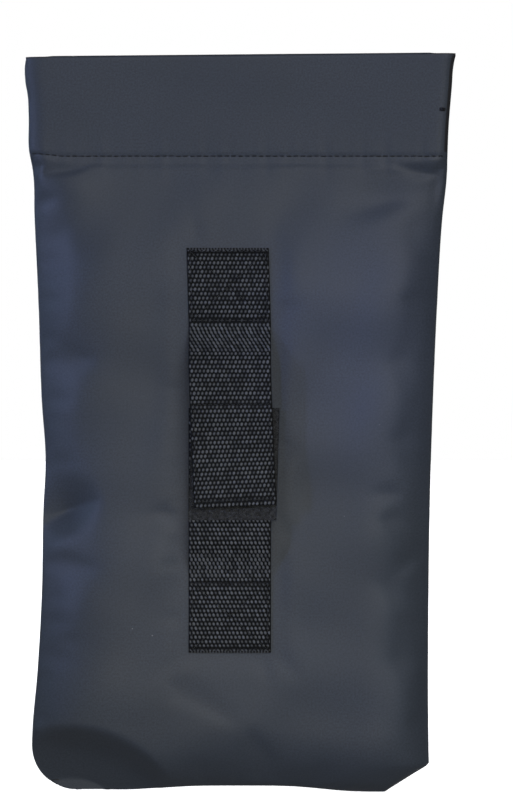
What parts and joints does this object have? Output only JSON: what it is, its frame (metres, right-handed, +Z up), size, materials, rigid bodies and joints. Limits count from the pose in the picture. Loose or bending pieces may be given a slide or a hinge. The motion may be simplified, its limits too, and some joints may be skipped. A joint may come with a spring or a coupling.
{
  "type": "film changing bag",
  "caption": "Flat soft bag of coated dark fabric with a spring-frame mouth in a wide hem and a hook-and-loop webbing belt loop.",
  "frame": {"origin": "centre of the belt passage, between the bag's face and the strap", "axes": "+X to the right seen from the strap's side, +Y from the strap into the bag, +Z up to the mouth"},
  "size_m": [0.1998, 0.0421, 0.3417],
  "materials": {
    "coated_fabric": "matt coated nylon, dark blue-grey",
    "webbing": "plain-woven webbing, near black",
    "hook_tape": "moulded hooks on woven tape",
    "loop_tape": "brushed loop pile",
    "thread": "twisted polyester thread",
    "spring_steel": "tempered strip, dull",
    "pin_steel": "plain steel wire pin"
  },
  "bodies": {
    "root": {"strap_side_panel": "coated_fabric", "plain_side_panel": "coated_fabric", "seam_stitching": "thread", "left_frame_pin": "pin_steel", "right_frame_pin": "pin_steel", "upper_strap_anchor": "webbing", "upper_box_stitching": "thread", "lower_strap_anchor": "webbing", "lower_box_stitching": "thread"},
    "belt_flap": {"upper_strap_flap": "webbing", "hook_tape": "hook_tape", "hook_tape_stitching": "thread"},
    "belt_tab": {"lower_strap_tab": "webbing", "loop_tape": "loop_tape", "loop_tape_stitching": "thread"},
    "strap_side_mouth": {"strap_side_hem": "coated_fabric", "strap_side_hem_stitching": "thread", "strap_side_spring_strip": "spring_steel"},
    "plain_side_mouth": {"plain_side_hem": "coated_fabric", "plain_side_hem_stitching": "thread", "plain_side_spring_strip": "spring_steel"}
  },
  "joints": [
    {"name": "belt_flap_peel", "type": "hinge", "parent": "root", "child": "belt_flap", "pos_m": [0, 0.0002, 0.0588], "axis": [-1, 0, 0], "range_deg": [0, 140]},
    {"name": "belt_tab_swing", "type": "hinge", "parent": "root", "child": "belt_tab", "pos_m": [0, 0.0002, -0.0588], "axis": [1, 0, 0], "range_deg": [0, 56]},
    {"name": "strap_side_mouth_open", "type": "slide", "parent": "root", "child": "strap_side_mouth", "axis": [0, -1, 0], "range_m": [0, 0.02], "stiffness_N_per_m": 150, "deforming": ["strap_side_spring_strip"]},
    {"name": "plain_side_mouth_open", "type": "slide", "parent": "root", "child": "plain_side_mouth", "axis": [0, 1, 0], "range_m": [0, 0.02], "stiffness_N_per_m": 150, "deforming": ["plain_side_spring_strip"]}
  ],
  "couplings": [
    {"joint": "belt_tab_swing", "follows": "belt_flap_peel", "ratio": 0.4},
    {"joint": "plain_side_mouth_open", "follows": "strap_side_mouth_open", "ratio": 1}
  ]
}
